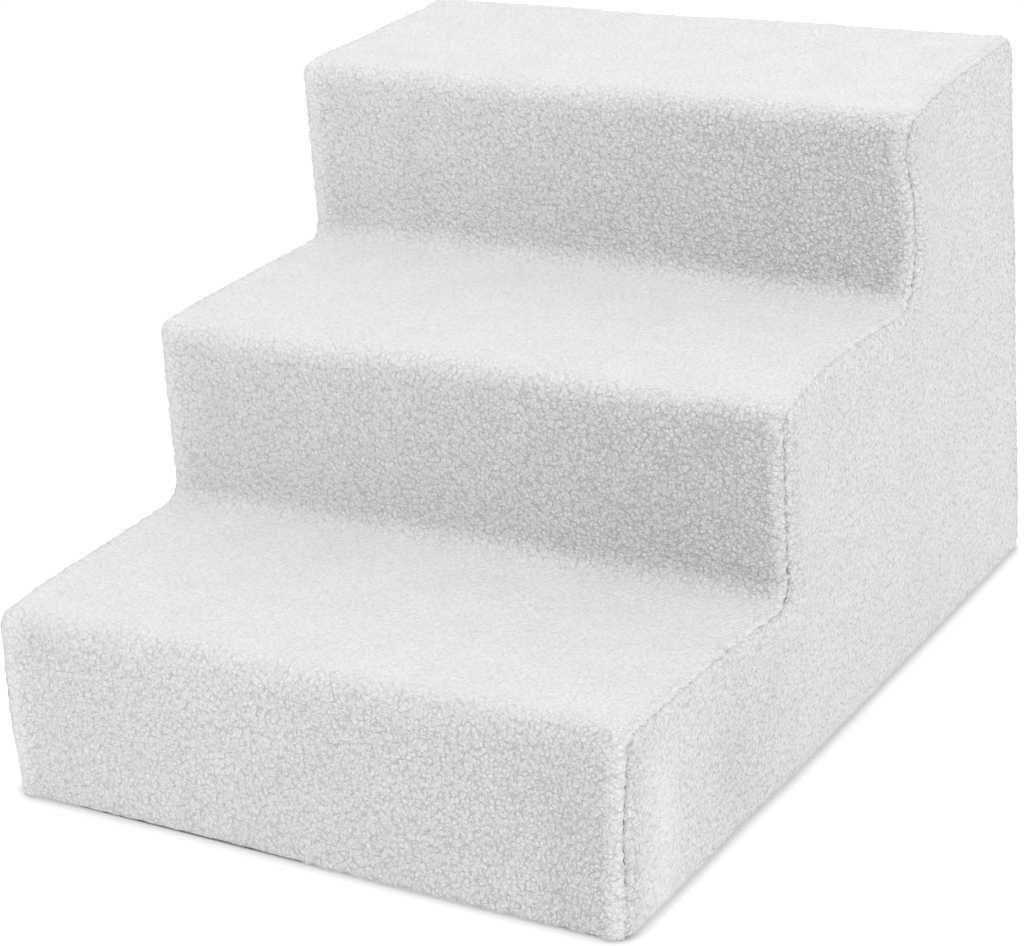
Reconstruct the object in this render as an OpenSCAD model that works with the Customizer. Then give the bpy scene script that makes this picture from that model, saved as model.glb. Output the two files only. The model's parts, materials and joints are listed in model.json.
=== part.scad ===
// Three-step pet stairs: a snap-together moulded frame under a fitted fleece cover.
// X runs across the steps, Y from the lowest step to the back, Z up from the floor.

/* [Steps] */
// Width of the frame, side to side
frame_w = 350; // [280:1:420]
// Depth of the lower steps, from riser to riser
tread_d = 158; // [135:1:180]
// Depth of the top step, without the cover's back
top_tread_d = 144; // [125:1:180]
// Height of the upper steps
riser_h = 101; // [88:1:120]
// Height of the lowest step above the feet
first_riser_h = 93; // [86:1:115]
// Radius of a tread's nose
nose_r = 5; // [4.5:0.5:8]
// Depth of the lip that a tread hangs over its riser
lip_h = 10; // [9:0.5:16]

/* [Moulded panels] */
// Wall of every moulded panel
panel_t = 2.5; // [2:0.1:3.2]
// Thickness of a stiffening rib
rib_t = 1.8; // [1.4:0.1:2.4]
// Depth of the ribs under a tread
tread_rib_h = 14; // [10:0.5:18]
// Depth of the ribs behind the upright panels
wall_rib_h = 9; // [6:0.5:11]
// Width of the ledge round a side panel, where the other panels seat
ledge_w = 22; // [20:0.5:28]
// Width of the flange round the centre panel
centre_w = 9; // [6:0.5:14]
// Width across the flats of a lattice window
window_w = 32; // [22:1:35]
// Gap left between panels that fit together
fit_gap = 0.3; // [0.2:0.05:0.5]

/* [Snap hooks] */
// Width of a hook
hook_w = 12; // [8:0.5:18]
// Thickness of a hook's tongue
hook_t = 2; // [1.6:0.1:2.6]
// How far a hook's barb stands out
barb = 1.4; // [1:0.1:1.8]
// Length of a hook's barb
barb_h = 4.5; // [3:0.5:6]

/* [Feet] */
// Height of a foot below the frame
foot_h = 3; // [2:0.5:5]
// Diameter of a foot
foot_d = 17; // [14:0.5:19]
// Diameter of a foot's stem
stem_d = 6; // [4:0.5:8]

/* [Fleece cover] */
// Thickness of the fleece, pile included
fleece_t = 5.5; // [3.5:0.5:7.5]
// Slack between the fleece and the frame
cover_gap = 0.5; // [0.4:0.1:1.5]
// Height of the hem above the floor
hem_lift = 1; // [0.5:0.5:2.5]
// Radius of the fleece where a tread meets a riser
corner_r = 9; // [6:1:16]
// Gap between two fleece panels along their seam
seam_gap = 0.3; // [0.2:0.05:0.4]

/* [Hook-and-loop tape] */
// Length of a strip of tape
tape_l = 150; // [100:5:200]
// Width of a strip of tape
tape_w = 20; // [16:1:25]
// Thickness of a strip of tape
tape_t = 1; // [0.6:0.1:1.2]
// Height of the tape above the frame's lower edge
tape_lift = 7; // [6:0.5:10]

/* [Hidden] */
$fn = 48;

// Steps, and lattice cells in one step
step_count = 3;
last = step_count - 1;
cell_cols = 3;
cell_rows = 2;
// Rib bays across the width of a tread, riser or back panel
bays = 6;
// Overrun of a cut past the face it opens
overrun = 1;
// Extra radius on a seat under a nose, so that the corner never binds
nose_relief = 1;
// Radial gap round a foot's stem, and how far its head stands out
stem_gap = 0.1;
stem_barb = 0.8;
// Height of the head on a foot's stem, and the bevel of a foot
stem_head_h = 3;
foot_bevel = 0.8;
// Shares of a tread's depth, a riser's height and the back's height at which the hooks stand
tread_hook_shares = [0.17, 0.83];
riser_hook_shares = [0.28, 0.72];
back_hook_shares = [0.14, 0.48, 0.82];
// Shares of a barb at its tip: how far it stands out, and how long its slope is
barb_tip_share = 0.2;
barb_slope_share = 0.6;

frame_d = last * tread_d + top_tread_d + panel_t;
frame_h = first_riser_h + last * riser_h;
rib_w = frame_w - 2 * (ledge_w + fit_gap);
bay_w = rib_w / bays;
hook_x = frame_w / 2 - panel_t - wall_rib_h - fit_gap - barb;
tape_z = foot_h + tape_lift;
mid_gap = cover_gap + fleece_t / 2;
cover_w = frame_w + 2 * (cover_gap + fleece_t);
nose_bend_r = nose_r + mid_gap;
corner_bend_r = corner_r + fleece_t / 2;

plastic_colour = [0.86, 0.86, 0.84];
rubber_colour = [0.2, 0.2, 0.21];
tape_colour = [0.9, 0.9, 0.9];
fleece_colour = [0.95, 0.95, 0.94];

// Front face of riser i, counted from the front, and of the back panel.
function riser_y(i) = i < step_count ? i * tread_d - frame_d / 2 : frame_d / 2 - panel_t;
// Top face of tread i, and the floor of the frame.
function tread_z(i) = i < 0 ? foot_h : foot_h + first_riser_h + i * riser_h;
// Line j between two lattice columns, and line k between two lattice rows.
function col_line(j) = lattice_line(j, cell_cols, [for (i = [0 : step_count]) riser_y(i)]);
function row_line(k) = lattice_line(k, cell_rows, [for (i = [-1 : last]) tread_z(i)]);
// Line n of a lattice that parts each stretch between two stops into this many cells.
function lattice_line(n, cells, stops) =
    let (i = min(floor(n / cells), len(stops) - 2))
    stops[i] + (n / cells - i) * (stops[i + 1] - stops[i]);
// Centre of lattice column j and lattice row k.
function col_y(j) = (col_line(j) + col_line(j + 1)) / 2;
function row_z(k) = (row_line(k) + row_line(k + 1)) / 2;

// Extrudes a side view, drawn with Y to the right and Z up, across the steps.
module across(width) {
    rotate([90, 0, 90]) linear_extrude(width, center = true) children();
}

// The same, but inwards from the right-hand face of the frame.
module inwards(depth) {
    translate([frame_w / 2 - depth / 2, 0, 0]) across(depth) children();
}

// Side view of one block, with its upper front corner rounded.
module step_block(front, back, bottom, top, radius) {
    translate([front, bottom]) square([back - front, top - bottom - radius]);
    if (radius > 0) {
        translate([front + radius, bottom]) square([back - front - radius, top - bottom]);
        translate([front + radius, top - radius]) circle(radius);
    }
}

// Side view of the whole stairs, grown by this much past the frame's outer faces.
module stair_outline(grow, nose, back, bottom, inner = 0) {
    for (i = [0 : last])
        step_block(riser_y(i) - grow, back, bottom, tread_z(i) + grow, nose);
    if (inner > 0)
        for (i = [1 : last])
            translate([riser_y(i) - grow - inner, tread_z(i - 1) + grow])
                difference() {
                    translate([0, -overrun]) square(inner + overrun);
                    translate([0, inner]) circle(inner);
                }
}

// One lattice window.
module window() {
    rotate(180 / 8) circle(window_w / 2 / cos(180 / 8), $fn = 8);
}

// Lattice windows of a stair-shaped panel, above the solid band that carries the tape.
module stair_windows() {
    for (j = [0 : step_count * cell_cols - 1])
        for (k = [1 : (floor(j / cell_cols) + 1) * cell_rows - 1])
            translate([col_y(j), row_z(k)]) window();
}

// Lattice ribs of a stair-shaped panel, between its windows.
module stair_ribs() {
    for (j = [1 : step_count * cell_cols - 1])
        translate([col_line(j) - rib_t / 2, foot_h]) square([rib_t, frame_h]);
    for (k = [1 : step_count * cell_rows - 1])
        translate([riser_y(0), row_line(k) - rib_t / 2]) square([frame_d, rib_t]);
}

// Side view of the seats that the treads, risers and back panel lie on.
module seat_outline(gap = 0) {
    stair_outline(-panel_t - gap, nose_r - panel_t + nose_relief,
        riser_y(step_count) - gap, foot_h);
}

// Side view of the space inside those seats.
module seat_inside() {
    stair_outline(-2 * panel_t, panel_t, riser_y(step_count) - panel_t, foot_h + panel_t);
}

// A snap hook that points down from its root at the origin, with its barb towards +X.
module snap_hook() {
    catch = panel_t + fit_gap;
    linear_extrude(hook_w, center = true)
        polygon([
            [-hook_t, panel_t / 2], [-hook_t, -catch - barb_h],
            [barb_tip_share * barb, -catch - barb_h],
            [barb, -catch - (1 - barb_slope_share) * barb_h], [barb, -catch],
            [0, -catch], [0, panel_t / 2]
        ]);
}

// The slot that a snap hook is pushed through.
module hook_slot() {
    linear_extrude(hook_w + 2 * fit_gap, center = true)
        translate([-hook_t - barb - fit_gap, -panel_t - overrun])
            square([hook_t + barb + 2 * fit_gap, panel_t + 2 * overrun]);
}

// Sets a hook or slot on both sides of the frame, or on the right-hand side alone.
module on_sides(both) {
    children();
    if (both) mirror([1, 0, 0]) children();
}

// Places under tread i, where it seats on the ledges.
module at_tread_hooks(i, both) {
    on_sides(both)
        for (share = tread_hook_shares)
            translate([hook_x, riser_y(i) + share * (riser_y(i + 1) - riser_y(i)),
                tread_z(i) - panel_t])
                rotate([90, 0, 0]) children();
}

// Places behind riser i.
module at_riser_hooks(i, both) {
    on_sides(both)
        for (share = riser_hook_shares)
            translate([hook_x, riser_y(i) + panel_t,
                tread_z(i - 1) + share * (tread_z(i) - lip_h - tread_z(i - 1))])
                rotate([180, 0, 0]) children();
}

// Places in front of the back panel.
module at_back_hooks(both) {
    on_sides(both)
        for (share = back_hook_shares)
            translate([hook_x, riser_y(step_count), foot_h + share * frame_h])
                children();
}

// A strip of tape laid flat on the frame's face, on its side (x, y) and this much longer.
module tape_block(side, off, thick, grow = 0) {
    long = tape_l + 2 * grow;
    face = side.x == 0 ? frame_d / 2 : frame_w / 2;
    size = side.x == 0 ? [long, thick] : [thick, long];
    at = face + off;
    translate([side.x * at, side.y * at, tape_z + tape_w / 2])
        linear_extrude(tape_w + 2 * grow, center = true) square(size, center = true);
}

// The hook strip lies in a recess in the frame, flush with its outer face.
module hook_tape(side) {
    color(tape_colour) tape_block(side, -tape_t / 2, tape_t);
}
module hook_tape_recess(side) {
    tape_block(side, overrun / 2 - tape_t / 2, tape_t + overrun, fit_gap);
}

// The loop strip lies in the back of the fleece, flush with its inner face.
module loop_tape(side) {
    color(tape_colour) tape_block(side, cover_gap + tape_t / 2, tape_t);
}
module loop_tape_recess(side) {
    tape_block(side, cover_gap + tape_t / 2 - overrun / 2, tape_t + overrun, fit_gap);
}

// Right-hand side panel: a lattice wall with a ledge all round that the others snap on to.
module side_panel() {
    color(plastic_colour)
        difference() {
            union() {
                inwards(panel_t) difference() {
                    seat_outline();
                    stair_windows();
                }
                inwards(ledge_w) difference() {
                    seat_outline();
                    seat_inside();
                }
                inwards(panel_t + wall_rib_h) intersection() {
                    seat_inside();
                    stair_ribs();
                }
            }
            for (i = [0 : last]) {
                at_tread_hooks(i, false) hook_slot();
                at_riser_hooks(i, false) hook_slot();
            }
            at_back_hooks(false) hook_slot();
            for (j = foot_cols)
                translate([frame_w / 2 - ledge_w / 2, col_y(j), foot_h]) stem_hole();
            hook_tape_recess([1, 0]);
        }
}

// Centre panel: an upright web under the middle of the treads.
module centre_panel() {
    end_gap = panel_t + wall_rib_h + 2 * fit_gap;
    base_front = riser_y(0) + end_gap;
    base_back = riser_y(step_count) + panel_t - end_gap;
    color(plastic_colour)
        difference() {
            union() {
                across(panel_t) difference() {
                    seat_outline(fit_gap);
                    stair_windows();
                }
                across(centre_w) difference() {
                    seat_outline(fit_gap);
                    seat_inside();
                }
                translate([-ledge_w / 2, base_front, foot_h])
                    cube([ledge_w, base_back - base_front, panel_t]);
            }
            for (j = foot_cols) translate([0, col_y(j), foot_h]) stem_hole();
        }
}

// Upright and level ribs that fill a width and height behind a panel, with a slot for the
// centre panel. The ribs start at the origin and rise along +Z, and rows lists the level ones.
module rib_lattice(height, depth, rows) {
    difference() {
        union() {
            for (i = [0 : bays])
                translate([-rib_w / 2 + i * (rib_w - rib_t) / bays, 0, 0])
                    cube([rib_t, depth, height]);
            for (z = rows)
                translate([-rib_w / 2, 0, z]) cube([rib_w, depth, rib_t]);
        }
        translate([-centre_w / 2 - fit_gap, -overrun, -overrun])
            cube([centre_w + 2 * fit_gap, depth + 2 * overrun, height + 2 * overrun]);
    }
}

// Tread i: a ribbed deck with a rounded nose and a lip that hangs over the riser.
module tread_panel(i) {
    front = riser_y(i);
    back = riser_y(i + 1) + panel_t - fit_gap;
    top = tread_z(i);
    rib_front = front + panel_t + fit_gap;
    rib_back = riser_y(i + 1) - panel_t;
    rib_d = rib_back - rib_front;
    color(plastic_colour) {
        across(frame_w) difference() {
            step_block(front, back, top - lip_h, top, nose_r);
            step_block(front + panel_t, back + overrun, top - lip_h - overrun,
                top - panel_t, nose_r - panel_t);
        }
        // The lattice is made upright, then laid down under the deck.
        translate([0, rib_back, top - panel_t - tread_rib_h])
            rotate([90, 0, 0])
                rib_lattice(rib_d, tread_rib_h,
                    [for (k = [0 : cell_cols]) k * (rib_d - rib_t) / cell_cols]);
        at_tread_hooks(i, true) snap_hook();
    }
}

// Riser i: a panel that closes the front of a step, with a recess for tape and a window band.
module riser_panel(i) {
    bottom = tread_z(i - 1) + fit_gap;
    top = tread_z(i) - lip_h - fit_gap;
    rib_top = tread_z(i) - panel_t - tread_rib_h - fit_gap;
    band = tread_z(i - 1) + tape_lift + tape_w + rib_t;
    color(plastic_colour)
        difference() {
            union() {
                translate([-frame_w / 2, riser_y(i), bottom])
                    cube([frame_w, panel_t, top - bottom]);
                translate([0, riser_y(i) + panel_t, bottom])
                    rib_lattice(rib_top - bottom, wall_rib_h,
                        [0, band - bottom, rib_top - bottom - rib_t]);
                at_riser_hooks(i, true) snap_hook();
            }
            for (j = [0 : bays - 1])
                translate([(j + 0.5 - bays / 2) * bay_w, riser_y(i) + panel_t / 2,
                    (band + rib_t + rib_top) / 2])
                    rotate([90, 0, 0])
                        linear_extrude(panel_t + 2 * overrun, center = true) window();
            hook_tape_recess([0, -1]);
        }
}

// Back panel: the full height of the frame, under the rear edge of the upper tread.
module back_panel() {
    bottom = foot_h + fit_gap;
    top = tread_z(last) - panel_t - fit_gap;
    rib_top = tread_z(last) - panel_t - tread_rib_h - fit_gap;
    back = riser_y(step_count);
    color(plastic_colour)
        difference() {
            union() {
                translate([-frame_w / 2, back, bottom])
                    cube([frame_w, panel_t, top - bottom]);
                translate([0, back - wall_rib_h, bottom])
                    rib_lattice(rib_top - bottom, wall_rib_h, [
                        0,
                        for (k = [1 : step_count * cell_rows - 1])
                            row_line(k) - bottom - rib_t / 2,
                        rib_top - bottom - rib_t
                    ]);
                at_back_hooks(true) snap_hook();
            }
            for (j = [0 : bays - 1])
                for (k = [1 : step_count * cell_rows - 1])
                    translate([(j + 0.5 - bays / 2) * bay_w, back + panel_t / 2, row_z(k)])
                        rotate([90, 0, 0])
                            linear_extrude(panel_t + 2 * overrun, center = true) window();
            hook_tape_recess([0, 1]);
        }
}

// Lattice columns that carry a foot
foot_cols = [0, step_count * cell_cols - 1];

// Hole in a ledge for a foot's stem, from the ledge's underside, with room for its head above.
module stem_hole() {
    translate([0, 0, -overrun])
        cylinder(h = panel_t + 2 * overrun, d = stem_d + 2 * stem_gap);
    translate([0, 0, panel_t])
        cylinder(h = stem_gap + stem_head_h + fit_gap, d = stem_d + 2 * (stem_barb + fit_gap));
}

// Rubber foot, pushed up through its hole. It stands at x under lattice column j.
module foot(x, j) {
    neck = foot_h + panel_t + stem_gap;
    color(rubber_colour)
        translate([x, col_y(j), 0])
            rotate_extrude()
                polygon([
                    [0, 0], [foot_d / 2 - foot_bevel, 0], [foot_d / 2, foot_bevel],
                    [foot_d / 2, foot_h], [stem_d / 2, foot_h], [stem_d / 2, neck],
                    [stem_d / 2 + stem_barb, neck],
                    [stem_d / 2 - stem_barb, neck + stem_head_h], [0, neck + stem_head_h]
                ]);
}

// Places along a path that starts along +X. The path is a list of [length, turn], where turn is
// 1 to the left, -1 to the right and 0 for none. Each place is [point, heading, length, turn].
function places(path, left_r, right_r, at = [0, 0], heading = 0, k = 0) =
    k == len(path) ? []
    : let (
        turn = path[k][1],
        bend_r = turn > 0 ? left_r : right_r,
        ahead = [cos(heading), sin(heading)],
        left = [-sin(heading), cos(heading)],
        next = at + (path[k][0] + bend_r) * ahead + turn * bend_r * left
    ) [
        [at, heading, path[k][0], turn],
        each places(path, left_r, right_r, next, heading + 90 * turn, k + 1)
    ];

// Sweeps a section along such a path. Its X points to the left of the path and its Y along Z.
module trace(path, left_r, right_r) {
    for (place = places(path, left_r, right_r))
        translate(place[0]) rotate(place[1]) {
            rotate([90, 0, 90]) linear_extrude(place[2]) children();
            if (place[3] > 0)
                translate([place[2], left_r, 0]) rotate(-90) rotate_extrude(angle = 90)
                    translate([left_r, 0]) mirror([1, 0]) children();
            if (place[3] < 0)
                translate([place[2], -right_r, 0]) rotate_extrude(angle = 90)
                    translate([right_r, 0]) children();
        }
}

// Sets a shape that is drawn in side view, with Y to the right and Z up, at x and (y, z).
module in_side_view(x, y, z) {
    translate([x, y, z]) rotate([90, 0, 90]) children();
}

// Section of a fleece panel with two rolled edges, centred, its width along X.
module rolled_section(width) {
    square([width - fleece_t, fleece_t], center = true);
    for (x = [-1, 1]) translate([x * (width - fleece_t) / 2, 0]) circle(fleece_t / 2);
}

// Section of the rim of a fleece panel, from its rolled edge at the origin to this far inside.
module rim_section(width) {
    translate([fleece_t / 2, -fleece_t / 2]) square([width - fleece_t / 2, fleece_t]);
    translate([fleece_t / 2, 0]) intersection() {
        circle(fleece_t / 2);
        translate([-fleece_t, -fleece_t]) square([fleece_t, 2 * fleece_t]);
    }
}

// A flat length of the stepped panel that ends in a rolled edge, in side view. It runs along +X
// from its rolled end at the origin.
module strip_end(length) {
    intersection() {
        rotate([90, 0, 90]) linear_extrude(length) rotate(90) rolled_section(cover_w);
        linear_extrude(cover_w + 2 * overrun, center = true)
            translate([length, 0]) rolled_section(2 * length);
    }
}

// The stepped panel of the cover: one strip that runs up every riser and over every tread.
module cover_steps() {
    hem_y = riser_y(0) - mid_gap;
    back_edge = frame_d / 2 + cover_gap + fleece_t;
    end_l = 2 * fleece_t;
    riser_run = riser_h - nose_bend_r - corner_bend_r;
    tread_run = tread_d - nose_bend_r - corner_bend_r;
    path = [
        for (i = [0 : last]) each [
            [i > 0 ? riser_run : tread_z(0) + mid_gap - nose_bend_r - hem_lift - end_l, -1],
            i < last ? [tread_run, 1]
                : [back_edge - end_l - riser_y(last) + mid_gap - nose_bend_r, 0]
        ]
    ];
    color(fleece_colour)
        difference() {
            union() {
                in_side_view(0, hem_y, hem_lift) rotate(90) strip_end(end_l);
                in_side_view(0, hem_y, hem_lift + end_l) rotate(90)
                    trace(path, corner_bend_r, nose_bend_r) rotate(90) rolled_section(cover_w);
                in_side_view(0, back_edge, tread_z(last) + mid_gap) rotate(180)
                    strip_end(end_l);
            }
            loop_tape_recess([0, -1]);
        }
}

// Right-hand side panel of the cover, sewn inside the edge of the stepped panel.
module cover_side() {
    grow = cover_gap - seam_gap;
    rim = nose_r + grow;
    rim_w = (rim + fleece_t / 2) / 2;
    inner = corner_r + fleece_t + seam_gap;
    front = riser_y(0) - grow;
    back = frame_d / 2 + grow;
    top = tread_z(last) + grow;
    path = [
        [back - front - 2 * rim, 1],
        [top - hem_lift - 2 * rim, 1],
        [back - riser_y(last) + grow - 2 * rim, 1],
        for (i = [1 : last]) each [[riser_h - rim - inner, -1], [tread_d - rim - inner, 1]],
        [tread_z(0) + grow - hem_lift - 2 * rim, 1]
    ];
    color(fleece_colour)
        difference() {
            union() {
                translate([cover_w / 2 - fleece_t / 2, 0, 0]) across(fleece_t)
                    stair_outline(grow - rim_w, 0, back - rim_w, hem_lift + rim_w,
                        inner + rim_w);
                in_side_view(cover_w / 2 - fleece_t / 2, front + rim, hem_lift)
                    trace(path, rim, inner) rim_section(rim_w);
            }
            loop_tape_recess([1, 0]);
        }
}

// Back panel of the cover, sewn under the rear edge of the stepped panel.
module cover_back() {
    top = tread_z(last) + cover_gap - seam_gap;
    middle = frame_d / 2 + mid_gap;
    color(fleece_colour)
        difference() {
            intersection() {
                translate([0, middle, hem_lift]) linear_extrude(top - hem_lift)
                    rolled_section(cover_w);
                across(cover_w + 2 * overrun) translate([middle, (top + hem_lift) / 2])
                    rotate(90) rolled_section(top - hem_lift);
            }
            loop_tape_recess([0, 1]);
        }
}

mirror([1, 0, 0]) side_panel();  // side_panel_left
side_panel();  // side_panel_right
centre_panel();
tread_panel(0);  // tread_lower
tread_panel(1);  // tread_middle
tread_panel(2);  // tread_upper
riser_panel(0);  // riser_lower
riser_panel(1);  // riser_middle
riser_panel(2);  // riser_upper
back_panel();
foot((ledge_w - frame_w) / 2, foot_cols[0]);  // foot_left_front
foot((ledge_w - frame_w) / 2, foot_cols[1]);  // foot_left_back
foot(0, foot_cols[0]);  // foot_centre_front
foot(0, foot_cols[1]);  // foot_centre_back
foot((frame_w - ledge_w) / 2, foot_cols[0]);  // foot_right_front
foot((frame_w - ledge_w) / 2, foot_cols[1]);  // foot_right_back
hook_tape([0, -1]);  // hook_tape_front
hook_tape([0, 1]);  // hook_tape_back
hook_tape([-1, 0]);  // hook_tape_left
hook_tape([1, 0]);  // hook_tape_right
loop_tape([0, -1]);  // loop_tape_front
loop_tape([0, 1]);  // loop_tape_back
loop_tape([-1, 0]);  // loop_tape_left
loop_tape([1, 0]);  // loop_tape_right
cover_steps();
mirror([1, 0, 0]) cover_side();  // cover_left
cover_side();  // cover_right
cover_back();
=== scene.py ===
"""Looks of the pet stairs: a sherpa fleece cover over a moulded frame, on a pale floor."""

import json
import logging
import math
from dataclasses import dataclass, field
from enum import Enum, IntEnum
from typing import Any

import bpy
import numpy as np
from mathutils import Matrix, Vector
from mathutils.geometry import delaunay_2d_cdt
from mathutils.kdtree import KDTree


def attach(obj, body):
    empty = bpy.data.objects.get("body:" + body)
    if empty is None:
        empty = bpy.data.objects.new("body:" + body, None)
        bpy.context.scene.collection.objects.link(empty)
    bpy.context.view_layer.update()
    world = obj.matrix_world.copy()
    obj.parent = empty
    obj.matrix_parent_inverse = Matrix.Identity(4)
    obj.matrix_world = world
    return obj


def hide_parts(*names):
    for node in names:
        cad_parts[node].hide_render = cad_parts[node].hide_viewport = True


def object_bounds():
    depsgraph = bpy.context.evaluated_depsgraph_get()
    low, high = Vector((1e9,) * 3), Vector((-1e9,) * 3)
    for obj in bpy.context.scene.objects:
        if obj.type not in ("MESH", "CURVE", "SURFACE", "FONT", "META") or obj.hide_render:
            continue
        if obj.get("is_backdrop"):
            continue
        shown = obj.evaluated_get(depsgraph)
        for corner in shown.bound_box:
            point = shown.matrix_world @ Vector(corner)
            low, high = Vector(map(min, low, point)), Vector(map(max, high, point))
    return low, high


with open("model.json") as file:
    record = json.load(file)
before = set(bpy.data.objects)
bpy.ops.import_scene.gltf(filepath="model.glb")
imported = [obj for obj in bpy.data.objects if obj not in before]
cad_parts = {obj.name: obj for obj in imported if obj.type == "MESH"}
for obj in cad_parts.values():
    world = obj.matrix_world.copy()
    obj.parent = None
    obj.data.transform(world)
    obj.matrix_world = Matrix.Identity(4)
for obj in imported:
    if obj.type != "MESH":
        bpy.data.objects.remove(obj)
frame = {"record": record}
log = logging.getLogger("pet_stairs")

MM = 0.001
DIAGONAL = math.sqrt(0.5)
HEX_ROW = math.sqrt(0.75)
# Angles of the rows of points round a rolled edge, in degrees.
ROLL_ANGLES = (0, 20, 42, 66)
# Columns of a strip's face that its underside repeats, from right to left.
UNDERSIDE = [-3, -5, 4, 2]
# How close two points may be before the triangulation takes them for one.
CDT_SLACK = 1e-7
# Width of the lumps that stand out in the mesh itself.
CLUMP = 7 * MM
# How many sines make a drift, their share of its wavelength, and their usual peak.
DRIFT_SINES = 8
DRIFT_WAVES = (0.7, 1.6)
DRIFT_PEAK = 3.4
# Wavelengths, height and reach of the puckers beside a seam.
PUCKER_WAVES = tuple(wave * MM for wave in (4.6, 5.3, 6.1, 7.4, 9.5, 13.0))
PUCKER_HEIGHT = 0.13 * MM
PUCKER_REACH = 5 * MM
# The range that a noise texture mostly stays in.
NOISE = (0.3, 0.7)

Array = np.ndarray
Socket = bpy.types.NodeSocket
Colour = tuple[float, float, float]
Span = tuple[float, float]


class Hand(Enum):
    """Which side of the stairs a panel closes."""

    LEFT = -1
    RIGHT = 1


class Nap(Enum):
    """The face of a hook-and-loop tape."""

    HOOK = "hook"
    LOOP = "loop"


class Seed(IntEnum):
    """Seeds of the cloth's waves and puckers."""

    ASIDE = 1
    FORWARDS = 2
    SAG = 3
    RIDGE = 4
    STRIP_PUCKERS = 5
    SIDE_PUCKERS = 6
    STRIP_EDGE = 7
    SIDE_EDGE = 8


@dataclass(frozen=True)
class StairSizes:
    """Sizes of the stairs that the cover follows, in metres, as the frame has them."""

    frame_w: float = 350 * MM
    tread_d: float = 158 * MM
    top_tread_d: float = 144 * MM
    riser_h: float = 101 * MM
    first_riser_h: float = 93 * MM
    foot_h: float = 3 * MM
    panel_t: float = 2.5 * MM
    nose_r: float = 5 * MM
    corner_r: float = 9 * MM
    cover_gap: float = 0.5 * MM
    fleece_t: float = 5.5 * MM
    tape_t: float = 1 * MM
    tape_gap: float = 0.05 * MM
    hem_lift: float = 1 * MM
    steps: int = 3

    @property
    def frame_d(self) -> float:
        """Depth of the frame, front to back."""
        return (self.steps - 1) * self.tread_d + self.top_tread_d + self.panel_t

    @property
    def out(self) -> float:
        """How far the fleece's outer face stands off the frame."""
        return self.cover_gap + self.fleece_t

    @property
    def wide(self) -> float:
        """Overall width of the cover."""
        return self.frame_w + 2 * self.out

    @property
    def deep(self) -> float:
        """Half the overall depth of the cover."""
        return self.frame_d / 2 + self.out

    @property
    def thick(self) -> float:
        """Thickness of the fleece that shows, from the back of its tape to its face."""
        return self.fleece_t - self.tape_t - self.tape_gap

    def climb(self, z: Array) -> Array:
        """Height above the foot of the riser that a height belongs to."""
        feet = [0.0] + [self.tread_z(i) + self.out for i in range(self.steps - 1)]
        return z - np.array(feet)[np.searchsorted(feet, z, side="right") - 1]

    def riser_y(self, i: int) -> float:
        """Front face of the frame's riser i, or its back face past the last."""
        return i * self.tread_d - self.frame_d / 2 if i < self.steps else self.frame_d / 2

    def tread_z(self, i: int) -> float:
        """Top face of the frame's tread i."""
        return self.foot_h + self.first_riser_h + i * self.riser_h


class Outline:
    """A path in side view, of straight runs and quarter bends, read by its length."""

    def __init__(self, y: float, z: float, heading: float) -> None:
        """Start a path.

        Args:
            y: Where it starts along Y.
            z: Where it starts in height.
            heading: Its first direction, in degrees from +Y towards +Z.
        """
        self.point = np.array([y, z])
        self.heading = heading
        self.length = 0.0
        self.parts: list[tuple[float, Array, float, float]] = []

    def run(self, length: float) -> "Outline":
        """Go straight ahead.

        Args:
            length: How far.

        Returns:
            This path.
        """
        self.parts.append((self.length, self.point, self.heading, 0.0))
        angle = math.radians(self.heading)
        self.point = self.point + length * np.array([math.cos(angle), math.sin(angle)])
        self.length += length
        return self

    def bend(self, radius: float, turn: int) -> "Outline":
        """Bend by a quarter.

        Args:
            radius: Radius of the bend.
            turn: 1 to the left, -1 to the right.

        Returns:
            This path.
        """
        self.parts.append((self.length, self.point, self.heading, turn / radius))
        angle = math.radians(self.heading)
        ahead = np.array([math.cos(angle), math.sin(angle)])
        left = np.array([-ahead[1], ahead[0]])
        self.point = self.point + radius * ahead + turn * radius * left
        self.heading += 90 * turn
        self.length += radius * math.pi / 2
        return self

    def read(self, lengths: Array) -> tuple[Array, Array]:
        """Read points off the path.

        Args:
            lengths: Lengths along the path.

        Returns:
            The points, and the unit vectors to the left of the path there.
        """
        starts = np.array([part[0] for part in self.parts])
        index = np.clip(np.searchsorted(starts, lengths, side="right") - 1, 0, len(starts) - 1)
        origin = np.array([part[1] for part in self.parts])[index]
        angle = np.radians(np.array([part[2] for part in self.parts]))[index]
        curve = np.array([part[3] for part in self.parts])[index]
        along = lengths - starts[index]
        straight = curve == 0
        safe = np.where(straight, 1.0, curve)
        end = angle + along * curve
        bent = np.stack([np.sin(end) - np.sin(angle), np.cos(angle) - np.cos(end)], 1) / safe[:, None]
        ahead = np.stack([np.cos(angle), np.sin(angle)], 1) * along[:, None]
        return origin + np.where(straight[:, None], ahead, bent), np.stack([-np.sin(end), np.cos(end)], 1)


def ease(x: Array, low: float, high: float) -> Array:
    """Ease from 0 to 1.

    Args:
        x: What to ease.
        low: Where it leaves 0.
        high: Where it reaches 1.

    Returns:
        Values from 0 to 1.
    """
    t = np.clip((x - low) / (high - low), 0, 1)
    return t * t * (3 - 2 * t)


def between(low: Any, high: Any, share: Array) -> Array:
    """Mix two values.

    Args:
        low: Value at a share of 0.
        high: Value at a share of 1.
        share: How far towards the second.

    Returns:
        The mixed values.
    """
    return low + (high - low) * share


def hump(x: Array, middle: float, spread: float) -> Array:
    """A soft hump of height 1.

    Args:
        x: Where to read it.
        middle: Where it peaks.
        spread: How wide it is.

    Returns:
        Values from 0 to 1.
    """
    return np.exp(-(((x - middle) / spread) ** 2))


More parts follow.
